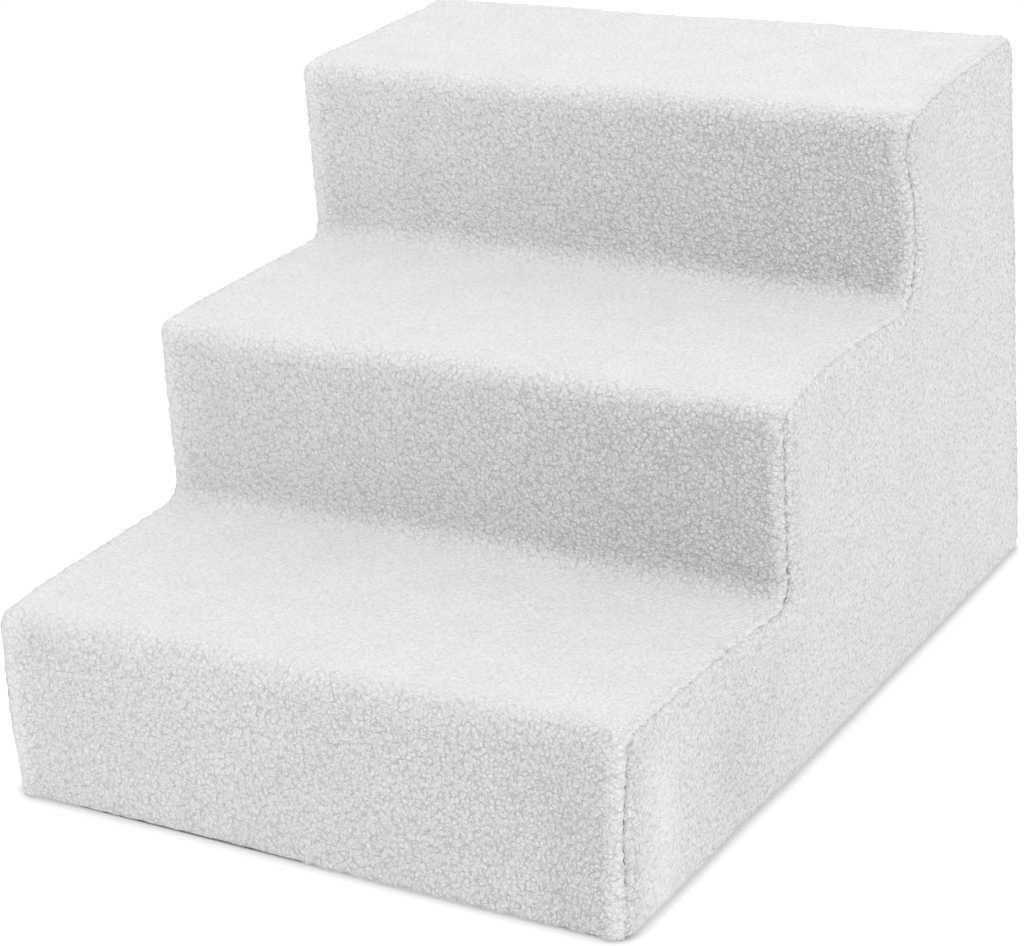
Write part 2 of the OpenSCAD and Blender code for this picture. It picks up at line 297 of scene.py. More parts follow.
def drift(x: Array, y: Array, wave: float, seed: int) -> Array:
    """A slow, even waviness, made of a few sines.

    Args:
        x: First coordinate.
        y: Second coordinate.
        wave: Typical wavelength.
        seed: Which pattern.

    Returns:
        Values of about -1 to 1.
    """
    rng = np.random.default_rng(seed)
    total = np.zeros(np.shape(x))
    for _ in range(DRIFT_SINES):
        angle, phase = rng.uniform(0, 2 * math.pi, 2)
        turn = 2 * math.pi / (wave * rng.uniform(*DRIFT_WAVES))
        total += np.sin(turn * (x * math.cos(angle) + y * math.sin(angle)) + phase)
    return total / DRIFT_PEAK


def gather(along: Array, distance: Array, seed: int) -> Array:
    """Small puckers that a seam draws in the cloth beside it, square to the seam.

    Args:
        along: Place along the seam.
        distance: Distance from it.
        seed: Which pattern.

    Returns:
        How far the cloth stands out, in metres.
    """
    rng = np.random.default_rng(seed)
    total = np.zeros(np.shape(along))
    for wave in PUCKER_WAVES:
        total += np.sin(2 * math.pi * along / wave + rng.uniform(0, 2 * math.pi))
    return PUCKER_HEIGHT * total * np.exp(-distance / PUCKER_REACH)


def rolled(distance: Array, radius: float) -> Array:
    """Half thickness of a panel beside its rolled edge.

    Args:
        distance: Distance from the edge.
        radius: Half the panel's thickness.

    Returns:
        Half thickness there.
    """
    inside = np.clip(1 - distance / radius, 0, 1)
    return radius * np.sqrt(1 - inside**2)


def spaced(length: float, radius: float, pitch: float) -> Array:
    """Places across a panel: close together round its rolled edges, even between.

    Args:
        length: Width of the panel.
        radius: Radius of its rolled edges.
        pitch: Pitch between them.

    Returns:
        Places from 0 to the width.
    """
    turn = radius * (1 - np.cos(np.radians(ROLL_ANGLES)))
    flat = np.linspace(radius, length - radius, 1 + round((length - 2 * radius) / pitch))
    return np.concatenate([turn, flat, length - turn[::-1]])


def rounded(depths: Array, radius: Array) -> Array:
    """Round the edges and corners where flat faces meet.

    Args:
        depths: Depth of each point below each of the faces, a row to a point.
        radius: Radius to round by, at each point.

    Returns:
        How much deeper each point has to lie below each face.
    """
    radius = np.broadcast_to(radius, depths.shape[:1])[:, None]
    out = np.clip(radius - np.maximum(depths, 0), 0, None)
    length = np.linalg.norm(out, axis=1, keepdims=True)
    return out * (1 - np.minimum(1, radius / np.maximum(length, 1e-9)))


def make_piece(name: str, points: Array, faces: list[tuple[int, ...]]) -> bpy.types.Object:
    """Make a smooth mesh object at the origin.

    Args:
        name: Name of the piece.
        points: Its vertices.
        faces: Its faces.

    Returns:
        The new object.
    """
    mesh = bpy.data.meshes.new(name)
    mesh.from_pydata(points.tolist(), [], faces)
    mesh.update()
    mesh.polygons.foreach_set("use_smooth", [True] * len(mesh.polygons))
    piece = bpy.data.objects.new(name, mesh)
    bpy.context.scene.collection.objects.link(piece)
    return piece


class Nodes:
    """Builds a node tree with short calls."""

    def __init__(self, tree: bpy.types.NodeTree) -> None:
        """Wrap a tree."""
        self.tree = tree

    def add(self, kind: str, inputs: dict[str | int, Any] | None = None, **settings: Any) -> bpy.types.Node:
        """Add a node.

        Args:
            kind: Type of the node.
            inputs: Values or sockets for its inputs.
            **settings: Settings of the node itself.

        Returns:
            The new node.
        """
        node = self.tree.nodes.new(kind)
        for key, value in settings.items():
            setattr(node, key, value)
        self.feed(node, inputs or {})
        return node

    def feed(self, node: bpy.types.Node, inputs: dict[str | int, Any]) -> None:
        """Set or link a node's inputs.

        Args:
            node: The node.
            inputs: Values or sockets for its inputs.
        """
        for key, value in inputs.items():
            if isinstance(value, Socket):
                self.tree.links.new(value, node.inputs[key])
            else:
                node.inputs[key].default_value = value

    def math(self, operation: str, a: Any, b: Any = 0.0, clamp: bool = False) -> Socket:
        """Add a Math node."""
        return self.add("ShaderNodeMath", {0: a, 1: b}, operation=operation, use_clamp=clamp).outputs[0]

    def remap(self, value: Socket, low: float, high: float, to_low: float, to_high: float) -> Socket:
        """Add a Map Range node.

        Args:
            value: Socket to map.
            low: Lowest value that comes in.
            high: Highest value that comes in.
            to_low: What the lowest becomes.
            to_high: What the highest becomes.

        Returns:
            Its output.
        """
        return self.add(
            "ShaderNodeMapRange", {0: value, 1: low, 2: high, 3: to_low, 4: to_high}
        ).outputs[0]

    def tint(self, factor: Socket, first: Colour, second: Colour) -> Socket:
        """Mix two colours.

        Args:
            factor: 0 for the first, 1 for the second.
            first: First colour.
            second: Second colour.

        Returns:
            The colour's socket.
        """
        node = self.add("ShaderNodeMix", {0: factor}, data_type="RGBA")
        self.feed(node, {6: (*first, 1), 7: (*second, 1)})
        return node.outputs[2]

    def noise(self, place: Socket, scale: Any, detail: float = 2.0, distortion: float = 0.0) -> Socket:
        """Add a Noise texture.

        Args:
            place: Where it is read.
            scale: Cells per metre.
            detail: Octaves.
            distortion: How far it is bent.

        Returns:
            Its value.
        """
        return self.add(
            "ShaderNodeTexNoise",
            {"Vector": place, "Scale": scale, "Detail": detail, "Distortion": distortion},
        ).outputs[0]

    def bump(self, height: Socket, distance: float, strength: float) -> Socket:
        """Add a Bump node.

        Args:
            height: Height of the relief, from 0 to about 1.
            distance: Depth of the relief.
            strength: Its strength.

        Returns:
            The bent normal.
        """
        return self.add(
            "ShaderNodeBump", {"Strength": strength, "Distance": distance, "Height": height}
        ).outputs[0]

    def tufts(self, place: Socket, scale: Any, bend: float, soft: float) -> tuple[Socket, Socket]:
        """Add the tufts of a sherpa pile.

        Args:
            place: Where it is read, on the flat cloth.
            scale: Tufts per metre.
            bend: How far their outlines are bent, in tufts.
            soft: How far they run into each other.

        Returns:
            Distance from the middle of the nearest tuft, and from the crease round it, in tufts.
        """
        waves = self.add("ShaderNodeTexNoise", {"Vector": place, "Scale": scale, "Detail": 1.0}).outputs[1]
        bent = self.add("ShaderNodeVectorMath", {0: waves, 1: (0.5,) * 3}, operation="SUBTRACT").outputs[0]
        reach = self.math("DIVIDE", bend, scale)
        push = self.add("ShaderNodeVectorMath", {0: bent, "Scale": reach}, operation="SCALE").outputs[0]
        moved = self.add("ShaderNodeVectorMath", {0: place, 1: push}, operation="ADD").outputs[0]
        read = {"Vector": moved, "Scale": scale}
        away, rim = (
            self.add("ShaderNodeTexVoronoi", read, feature=kind, voronoi_dimensions="2D")
            for kind in ("SMOOTH_F1", "DISTANCE_TO_EDGE")
        )
        away.inputs["Smoothness"].default_value = soft
        return away.outputs["Distance"], rim.outputs["Distance"]


def new_material(name: str) -> tuple[bpy.types.Material, Nodes, bpy.types.Node, Socket]:
    """Start a material.

    Args:
        name: Its name.

    Returns:
        The material, its nodes, its Principled shader and its Object coordinates.
    """
    made = bpy.data.materials.new(name)
    made.use_nodes = True
    build = Nodes(made.node_tree)
    place = build.add("ShaderNodeTexCoord").outputs["Object"]
    return made, build, made.node_tree.nodes["Principled BSDF"], place


@dataclass(frozen=True)
class Pile:
    """The pile of a sherpa fleece: sizes in tufts, and the shade painted into its creases from 0 to about 1.
    """

    bend: float = 1.6
    soft: float = 0.2
    dome: float = 0.8
    fibres: float = 3.5
    fibre_warp: float = 0.8
    fibre_share: float = 0.4
    # From here on: how wide and how dark the shade painted into the creases is, and how it varies in slow
    # patches.
    rim: float = 0.23
    rim_shade: float = 0.62
    valley: Span = (0.38, 0.72)
    valley_shade: float = 0.8
    patch: float = 0.6
    uneven_shade: Span = (0.35, 1.45)

    def group(self) -> bpy.types.ShaderNodeTree:
        """Build the shader group for the pile.

        Returns:
            A group that turns a place and a scale into the pile's height and the shade painted into its
            creases.
        """
        tree = bpy.data.node_groups.new("fleece_pile", "ShaderNodeTree")
        tree.interface.new_socket("Place", in_out="INPUT", socket_type="NodeSocketVector")
        tree.interface.new_socket("Scale", in_out="INPUT", socket_type="NodeSocketFloat")
        tree.interface.new_socket("Height", in_out="OUTPUT", socket_type="NodeSocketFloat")
        tree.interface.new_socket("Crevice", in_out="OUTPUT", socket_type="NodeSocketFloat")
        build = Nodes(tree)
        place, scale = build.add("NodeGroupInput").outputs[:2]
        away, rim = build.tufts(place, scale, self.bend, self.soft)
        fibre = build.noise(place, build.math("MULTIPLY", scale, self.fibres), 2.0, self.fibre_warp)
        dome = build.remap(away, 0.0, self.dome, 1.0, 0.0)
        height = build.math("ADD", dome, build.math("MULTIPLY", fibre, self.fibre_share))
        uneven = build.noise(place, build.math("MULTIPLY", scale, self.patch), 1.0)
        # Painted shade: thin dark lines round the tufts and the valleys between them, where the pile shades
        # itself.
        thin = build.remap(rim, 0.0, self.rim, self.rim_shade, 0.0)
        crease = build.math("ADD", thin, build.remap(away, *self.valley, 0.0, self.valley_shade))
        crease_shade = build.math("MULTIPLY", crease, build.remap(uneven, *NOISE, *self.uneven_shade))
        build.add("NodeGroupOutput", {"Height": height, "Crevice": crease_shade})
        return tree


@dataclass(frozen=True)
class FleeceFinish:
    """White sherpa fleece: rounded tufts of pile, with soft shade painted into the creases between them."""

    name: str = "sherpa_fleece"
    pile: Pile = Pile()
    light: Colour = (0.94, 0.94, 0.94)
    # Darkest colour, for the shade painted into the creases and for the random darker patches.
    dark: Colour = (0.62, 0.62, 0.625)
    tuft: float = 2.35 * MM
    relief: float = 2.2 * MM
    pressed: float = 0.15
    patch: float = 25 * MM
    patch_noise: Span = (0.35, 0.65)
    patch_shade: float = 0.1

    def material(self) -> bpy.types.Material:
        """Build the material.

        Returns:
            The fleece material.
        """
        made, build, shader, place = new_material(self.name)
        cloth = build.add("ShaderNodeUVMap", uv_map="cloth").outputs[0]
        nap = build.add("ShaderNodeAttribute", attribute_name="nap").outputs["Fac"]
        tufts = {"Place": cloth, "Scale": 1 / self.tuft}
        pile = build.add("ShaderNodeGroup", tufts, node_tree=self.pile.group()).outputs
        patch = build.remap(build.noise(place, 1 / self.patch), *self.patch_noise, 0.0, self.patch_shade)
        # Painted shade: the creases are darkened as far as the nap attribute lets them, on top of the random
        # darker patches.
        shade = build.math("ADD", build.math("MULTIPLY", pile["Crevice"], nap), patch, clamp=True)
        height = build.math("MULTIPLY", pile["Height"], build.remap(nap, 0.0, 1.0, self.pressed, 1.0))
        build.feed(
            shader,
            {
                "Base Color": build.tint(shade, self.light, self.dark),
                "Roughness": build.remap(pile["Crevice"], 0.0, 1.0, 0.9, 1.0),
                "Normal": build.bump(height, self.relief, 0.9),
                "Specular IOR Level": 0.15,
                "Sheen Weight": 0.3,
                "Sheen Roughness": 0.6,
            },
        )
        return made


@dataclass(frozen=True)
class MouldedFinish:
    """A moulded surface: a fine grain from the mould, with slow marks in its colour and its sheen."""

    name: str
    light: Colour
    dark: Colour
    marks: tuple[float, float, float]
    marks_noise: Span
    rough: Span
    grain: float
    grain_depth: float
    grain_strength: float

    def material(self) -> bpy.types.Material:
        """Build the material.

        Returns:
            The moulded material.
        """
        made, build, shader, place = new_material(self.name)
        marks = build.noise(place, *self.marks)
        tone = build.remap(marks, *self.marks_noise, 0.0, 1.0)
        build.feed(
            shader,
            {
                "Base Color": build.tint(tone, self.dark, self.light),
                "Roughness": build.remap(marks, *NOISE, *self.rough),
                "Normal": build.bump(build.noise(place, self.grain), self.grain_depth, self.grain_strength),
            },
        )
        return made


PLASTIC = MouldedFinish(
    name="moulded_plastic",
    light=(0.80, 0.80, 0.785),
    dark=(0.74, 0.74, 0.725),
    marks=(14.0, 3.0, 0.6),
    marks_noise=NOISE,
    rough=(0.42, 0.56),
    grain=1600.0,
    grain_depth=0.06 * MM,
    grain_strength=0.4,
)
RUBBER = MouldedFinish(
    name="foot_rubber",
    light=(0.060, 0.060, 0.063),
    dark=(0.028, 0.028, 0.030),
    marks=(120.0, 4.0, 0.0),
    marks_noise=(0.35, 0.7),
    rough=(0.62, 0.82),
    grain=2400.0,
    grain_depth=0.05 * MM,
    grain_strength=0.5,
)


@dataclass(frozen=True)
class TapeFinish:
    """White hook-and-loop tape: rows of stiff hooks, or a brushed nap of loops, with shade painted where
    they are low.
    """

    nap: Nap
    light: Colour = (0.84, 0.84, 0.84)
    dark: Colour = (0.60, 0.60, 0.61)
    depth: float = 0.4 * MM
    hooks: float = 700.0
    hook_spread: float = 0.25
    hook_tip: Span = (0.1, 0.55)
    loops: tuple[float, float, float] = (900.0, 3.0, 1.4)
    loop_noise: Span = (0.35, 0.65)

    def material(self) -> bpy.types.Material:
        """Build the material.

        Returns:
            The tape material.
        """
        made, build, shader, place = new_material(f"{self.nap.value}_tape")
        if self.nap is Nap.HOOK:
            rows = {"Vector": place, "Scale": self.hooks, "Randomness": self.hook_spread}
            away = build.add("ShaderNodeTexVoronoi", rows).outputs["Distance"]
            height = build.remap(away, *self.hook_tip, 1.0, 0.0)
        else:
            height = build.remap(build.noise(place, *self.loops), *self.loop_noise, 0.0, 1.0)
        # Painted shade: the colour darkens where the hooks or loops are low.
        build.feed(
            shader,
            {
                "Base Color": build.tint(height, self.dark, self.light),
                "Roughness": build.remap(height, 0.0, 1.0, 0.9, 0.6),
                "Normal": build.bump(height, self.depth, 0.7),
                "Sheen Weight": 0.1 if self.nap is Nap.HOOK else 0.4,
            },
        )
        return made


def relief_group() -> bpy.types.GeometryNodeTree:
    """Build the modifier group that makes a fleece's face lumpy, or fetch it.

    Returns:
        A group that moves each point along its normal, by its attribute pile times a noise.
    """
    name = "fleece_relief"
    if name in bpy.data.node_groups:
        return bpy.data.node_groups[name]
    tree = bpy.data.node_groups.new(name, "GeometryNodeTree")
    tree.interface.new_socket("Geometry", in_out="INPUT", socket_type="NodeSocketGeometry")
    tree.interface.new_socket("Geometry", in_out="OUTPUT", socket_type="NodeSocketGeometry")
    build = Nodes(tree)
    came = build.add("NodeGroupInput").outputs[0]
    place = build.add("GeometryNodeInputPosition").outputs[0]
    lumps = build.remap(build.noise(place, 1 / CLUMP, 1.0), *NOISE, -0.5, 0.5)
    pile = build.add("GeometryNodeInputNamedAttribute", {"Name": "pile"}, data_type="FLOAT").outputs[0]
    rise = build.math("MULTIPLY", lumps, pile)
    normal = build.add("GeometryNodeInputNormal").outputs[0]
    offset = build.add("ShaderNodeVectorMath", {0: normal, "Scale": rise}, operation="SCALE").outputs[0]
    moved = build.add("GeometryNodeSetPosition", {"Geometry": came, "Offset": offset}).outputs[0]
    build.add("NodeGroupOutput", {"Geometry": moved})
    return tree


@dataclass(frozen=True)
class Slack:
    """How the cloth departs from the taut shape, as a shift that depends on place alone.

    A pair that ends in fade says where an effect is nil and where it is full, and one that ends
    in hump says where it peaks and how wide it is.
    """

    stairs: StairSizes
    wave: float = 0.7 * MM
    wave_length: float = 150 * MM
    wave_aside: float = 0.4
    wave_slant: float = 0.3
    wave_full: float = 30 * MM
    dish: float = 0.6 * MM
    dish_fade: Span = (12 * MM, 4 * MM)
    dish_power: int = 4
    bridge: float = 4.0 * MM
    bridge_reach: float = 22 * MM
    bridge_end: float = 45 * MM
    ridge: float = 0.9 * MM
    ridge_hump: Span = (9 * MM, 7 * MM)
    ridge_below: float = 10 * MM
    ridge_length: float = 45 * MM
    ridge_share: float = 0.6
    hem_drop: float = 0.7 * MM
    hem_soft: float = 8 * MM
    hem_turn: float = 0.7 * MM
    hem_reach: float = 4 * MM
    hem_turn_fade: Span = (12 * MM, 6 * MM)
    tuck_right: float = 2.0 * MM
    tuck_reach: float = 14 * MM
    tuck_fade: Span = (60 * MM, -200 * MM)
    narrow: float = 2.0 * MM
    narrow_fade: Span = (60 * MM, 5 * MM)
    heel: float = 2.0 * MM
    heel_from: tuple[float, float, float] = (-60 * MM, 130 * MM, 250 * MM)
    corner_top: float = 6.5 * MM
    corner_low: float = 6 * MM
    corner_low_fade: Span = (100 * MM, 80 * MM)
    corner_foot_fade: Span = (-2 * MM, 10 * MM)
    corner_hem: float = 5 * MM
    corner_hem_fade: Span = (45 * MM, 8 * MM)
    flare: float = 2 * MM
    flare_right: float = 8 * MM
    flare_height: float = 95 * MM
    flare_fade: Span = (110 * MM, 10 * MM)
    flare_back: float = 8 * MM
    flare_back_height: float = 230 * MM
    flare_back_reach: float = 90 * MM
    left_lean: float = 4.6 * MM
    left_reach: float = 60 * MM
    nose_end: float = 8 * MM
    nose_back_fade: Span = (45 * MM, 15 * MM)
    nose_low_fade: Span = (60 * MM, 20 * MM)
    seam_low: Span = (0.9 * MM, -2.6 * MM)
    seam_low_hump: Span = (52 * MM, 24 * MM)
    seam_low_fade: Span = (0, 20 * MM)
    seam_middle: float = 5.4 * MM
    seam_high: tuple[float, float, float] = (6.0 * MM, -3.8 * MM, -2.6 * MM)
    seam_high_hump: Span = (78 * MM, 15 * MM)
    seam_high_fade: Span = (30 * MM, 0)
    seam_foot_fade: Span = (-40 * MM, 0)
    seam_reach: float = 38 * MM
    seam_groove: float = 7 * MM
    groove_share: float = 0.35

    def seam(self, i: int, foot: Array) -> Array:
        """How far outwards the seam up a riser lies.

        Args:
            i: Step, counted from the front.
            foot: Height above the foot of its riser.

        Returns:
            Its shift, outwards from the middle of the stairs.
        """
        if i == 0:
            base, middle = self.seam_low
            return (base + middle * hump(foot, *self.seam_low_hump)) * ease(foot, *self.seam_low_fade)
        base, upper, lower = self.seam_high
        wander = base + upper * hump(foot, *self.seam_high_hump) + lower * ease(foot, *self.seam_high_fade)
        return (self.seam_middle if i == 1 else wander) * ease(foot, *self.seam_foot_fade)

    def shifted(self, points: Array) -> Array:
        """Shift points of the cover.

        Args:
            points: Points of the taut shape.

        Returns:
            The same points on the slack cloth.
        """
        moved = points.copy()
        self.sag(points, moved)
        self.round_corners(points, moved)
        self.lean(points, moved)
        for i in range(self.stairs.steps):
            self.shape_step(i, points, moved)
        self.turn_hem(points, moved)
        return moved

    def sag(self, points: Array, moved: Array) -> None:
        """Let the cloth wave, sink into the treads and bridge the corners behind them.

        Args:
            points: Points of the taut shape.
            moved: The same points so far, which are shifted further.
        """
        x, y, z = points.T
        stairs, half = self.stairs, self.stairs.wide / 2
        length, slant = self.wave_length, self.wave_slant
        moved[:, 0] += self.wave_aside * self.wave * drift(y, z, length, Seed.ASIDE)
        moved[:, 1] += self.wave * drift(x, z + slant * y, length, Seed.FORWARDS)
        sag = self.wave * drift(x, y + slant * z, length, Seed.SAG)
        for i in range(stairs.steps):
            top = stairs.tread_z(i) + stairs.out
            front, rear = stairs.riser_y(i) - stairs.out, stairs.riser_y(i + 1) - stairs.out
            along = np.clip((y - front) / (rear - front), 0, 1)
            inwards = 1 - np.clip(np.abs(x) / half, 0, 1) ** self.dish_power
            near = ease(np.abs(z - top), *self.dish_fade) * inwards
            sag -= self.dish * near * np.sin(math.pi * along)
            if i + 1 < stairs.steps:
                reach = np.hypot(y - rear, z - top) / self.bridge_reach
                pull = self.bridge * np.exp(-(reach**2)) * ease(np.abs(x), half, half - self.bridge_end)
                moved[:, 1] -= pull * DIAGONAL
                sag += pull * DIAGONAL
        top = stairs.tread_z(stairs.steps - 1)
        inset, width = self.ridge_hump
        crease = hump(y, stairs.riser_y(stairs.steps) - inset, width) * ease(z, top - self.ridge_below, top)
        uneven = 1 + drift(x, y, self.ridge_length, Seed.RIDGE)
        sag += self.ridge * crease * self.ridge_share * uneven
        moved[:, 2] += sag * ease(z, stairs.hem_lift, self.wave_full)
        moved[:, 2] -= self.hem_drop * ease(z, self.hem_soft, stairs.hem_lift)

    def round_corners(self, points: Array, moved: Array) -> None:
        """Round the corners of the top at the back, and the outermost upright corners.

        Args:
            points: Points of the taut shape.
            moved: The same points so far, which are shifted further.
        """
        x, y, z = points.T
        stairs = self.stairs
        aside, ones = stairs.wide / 2 - np.abs(x), np.ones(len(x))
        below = stairs.tread_z(stairs.steps - 1) + stairs.out - z
        tuck = rounded(np.stack([aside, stairs.deep - y, below], 1), self.corner_top)
        moved -= tuck * np.stack([np.sign(x), ones, ones], 1)
        radius = self.corner_low * ease(z, *self.corner_low_fade)
        radius += self.corner_hem * ease(z, *self.corner_hem_fade)
        tuck = rounded(np.stack([aside, stairs.deep - np.abs(y)], 1), radius)
        moved[:, :2] -= tuck * np.sign(points[:, :2])

    def lean(self, points: Array, moved: Array) -> None:
        """Flare the hems, lean the left side out, and draw the right one in at the front.

        Args:
            points: Points of the taut shape.
            moved: The same points so far, which are shifted further.
        """
        x, y, z = points.T
        stairs = self.stairs
        half, deep, top = stairs.wide / 2, stairs.deep, stairs.tread_z(stairs.steps - 1)
        flare = self.flare + self.flare_right * (x + half) / stairs.wide
        moved[:, 1] -= flare * np.clip(1 - z / self.flare_height, 0, 1) * ease(y + deep, *self.flare_fade)
        behind = ease(deep - y, self.flare_back_reach, 0)
        moved[:, 1] += self.flare_back * np.clip(1 - z / self.flare_back_height, 0, 1) * behind
        moved[:, 0] -= self.left_lean * z / top * ease(x + half, self.left_reach, 0)
        low = np.clip(1 - z / self.tuck_reach, 0, 1)
        tucked = self.narrow + self.tuck_right * (1 - np.sqrt(1 - low**2))
        moved[:, 0] -= tucked * ease(y, *self.tuck_fade) * ease(half - x, *self.narrow_fade)
        aside, inset, height = self.heel_from
        raised = ease(x, aside, half) * ease(deep - y, inset, 0) * ease(z, height, top)
        moved[:, 2] += self.heel * raised

    def shape_step(self, i: int, points: Array, moved: Array) -> None:
        """Set the seam up a riser off course, and round the step's corners.

        Args:
            i: Step, counted from the front.
            points: Points of the taut shape.
            moved: The same points so far, which are shifted further.
        """
        x, y, z = points.T
        stairs = self.stairs
        aside = stairs.wide / 2 - np.abs(x)
        foot = z - (stairs.tread_z(i - 1) + stairs.out if i else 0)
        behind = y - stairs.riser_y(i) + stairs.out
        below = stairs.tread_z(i) + stairs.out - z
        near = np.hypot(np.maximum(aside, 0), behind)
        swell = hump(near, 0, self.seam_groove)
        if i:
            swell = (1 + self.groove_share) * hump(near, 0, self.seam_reach) - self.groove_share * swell
        moved[:, 0] += np.where(x > 0, self.seam(i, foot) * swell, 0)
        end = self.nose_end * ease(behind, *self.nose_back_fade) * ease(below, *self.nose_low_fade) * (x < 0)
        moved -= rounded(np.stack([aside, behind, below], 1), end) * np.array([-1, -1, 1])
        if i:
            radius = self.corner_low * ease(foot, *self.corner_low_fade) * ease(foot, *self.corner_foot_fade)
            tuck = rounded(np.stack([aside, behind], 1), radius)
            moved[:, :2] -= tuck * np.stack([np.sign(x), -np.ones(len(x))], 1)

    def turn_hem(self, points: Array, moved: Array) -> None:
        """Turn the hem's edge in, where it meets the floor.

        Args:
            points: Points of the taut shape.
            moved: The same points so far, which are shifted further.
        """
        low = np.clip(1 - (points[:, 2] - self.stairs.hem_lift) / self.hem_reach, 0, 1)
        turn = self.hem_turn * (1 - np.sqrt(1 - low**2))
        for axis, half in enumerate((self.stairs.wide / 2, self.stairs.deep)):
            place = points[:, axis]
            moved[:, axis] -= turn * np.sign(place) * ease(half - np.abs(place), *self.hem_turn_fade)


@dataclass
class Fleece:
    """What the cover's panels share: the cloth, its slack and how a panel is finished."""

    stairs: StairSizes
    slack: Slack
    material: bpy.types.Material
    pitch: float = 1.75 * MM
    pile: float = 0.55 * MM
    edge_share: float = 0.7
    puff: float = 1.0 * MM
    puff_rise: Span = (0, 5 * MM)
    puff_fall: Span = (15 * MM, 6 * MM)
    pucker_share: float = 0.3
    # Pile beside a seam; it also sets how much shade is painted into the creases there.
    nap_seam: float = 0.4
    nap_fade: Span = (12 * MM, 3 * MM)
    draw: float = 2.2 * MM
    draw_reach: float = 6 * MM
    draw_fade: Span = (46 * MM, 14 * MM)
    mitre_top: float = 2.15 * MM
    mitre_front: float = 2.6 * MM
    mitre_back: float = 1.5 * MM
    mitre_hem: float = 0.9 * MM
    mitre_hem_fade: Span = (20 * MM, 6 * MM)
    astray: Span = (0.5 * MM, -0.45 * MM)
    fray: float = 1.5

    @property
    def half(self) -> float:
        """Half the cloth's thickness, which is the radius of its rolled edges."""
        return self.stairs.thick / 2

    def plump(self, distance: Array) -> Array:
        """How far the cloth is puffed up beside a seam."""
        return self.puff * ease(distance, *self.puff_rise) * ease(distance, *self.puff_fall)

    def mitre(self, z: Array, upright: Array, turn: int) -> Array:
        """How far an edge is drawn in from a corner of the stairs, where a seam runs along it.

        Args:
            z: Height.
            upright: 1 on a riser, 0 on a tread.
            turn: 1 for the strip's edge, -1 for a side panel's.

        Returns:
            Distance from the corner.
        """
        foot = self.stairs.climb(np.maximum(z, 0))
        deep = self.mitre_front - self.mitre_hem * ease(z, *self.mitre_hem_fade)
        lowest, above = self.astray
        deep = deep + turn * np.where(foot < z, above, lowest)
        return between(self.mitre_top, deep, upright**2)

    def drawn(self, distance: Array, draw: Array) -> Array:
        """Where the cloth beside a seam lies on its flat cut, round its rolled edge.

        Args:
            distance: Distance from the seam.
            draw: How far the seam draws its tufts out.

        Returns:
            Distance on the flat cut.
        """
        turned = np.arcsin(np.clip(1 - distance / self.half, 0, 1)) * self.half
        flat = np.maximum(distance, self.half) - turned
        return flat - draw * (1 - np.exp(-distance / self.draw_reach)) * ease(distance, *self.draw_fade)

    def shares(self, distance: Array, outer: Array) -> Array:
        """Share of the pile that shows at each vertex."""
        return outer * between(self.edge_share, 1, ease(distance, 0, self.half))

    def raise_pile(self, piece: bpy.types.Object, cloth: Array, shares: Array, nap: Array) -> None:
        """Map a panel's flat cloth and raise the clumps in its mesh.

        Args:
            piece: The panel.
            cloth: Place of each vertex on the flat cloth.
            shares: Share of the full pile at each vertex.
            nap: How rough the pile stands at each vertex, from 0, pressed smooth, to 1; it also sets how
                much shade is painted into the creases there.
        """
        mesh = piece.data
        for name, values in (("pile", self.pile * shares), ("nap", nap)):
            values = np.ascontiguousarray(values.ravel(), np.float32)
            mesh.attributes.new(name, "FLOAT", "POINT").data.foreach_set("value", values)
        corners = np.empty(len(mesh.loops), np.int32)
        mesh.loops.foreach_get("vertex_index", corners)
        flat = cloth.reshape(-1, 2)[corners].ravel().astype(np.float32)
        mesh.uv_layers.new(name="cloth").data.foreach_set("uv", flat)
        modifier = piece.modifiers.new("relief", "NODES")
        modifier.node_group = relief_group()
        for item in bpy.context.selected_objects:
            item.select_set(False)
        piece.select_set(True)
        bpy.context.view_layer.objects.active = piece
        bpy.ops.object.modifier_apply(modifier=modifier.name)

    def hand_over(self, piece: bpy.types.Object, node: str) -> None:
        """Dress a panel, put it in the cover's body and hide the frame's node that it stands for.

        Args:
            piece: The panel.
            node: The frame's node that it stands for.
        """
        piece.data.materials.append(self.material)
        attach(piece, "cover")
        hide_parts(node)
        log.info("%s: %d vertices", piece.name, len(piece.data.vertices))


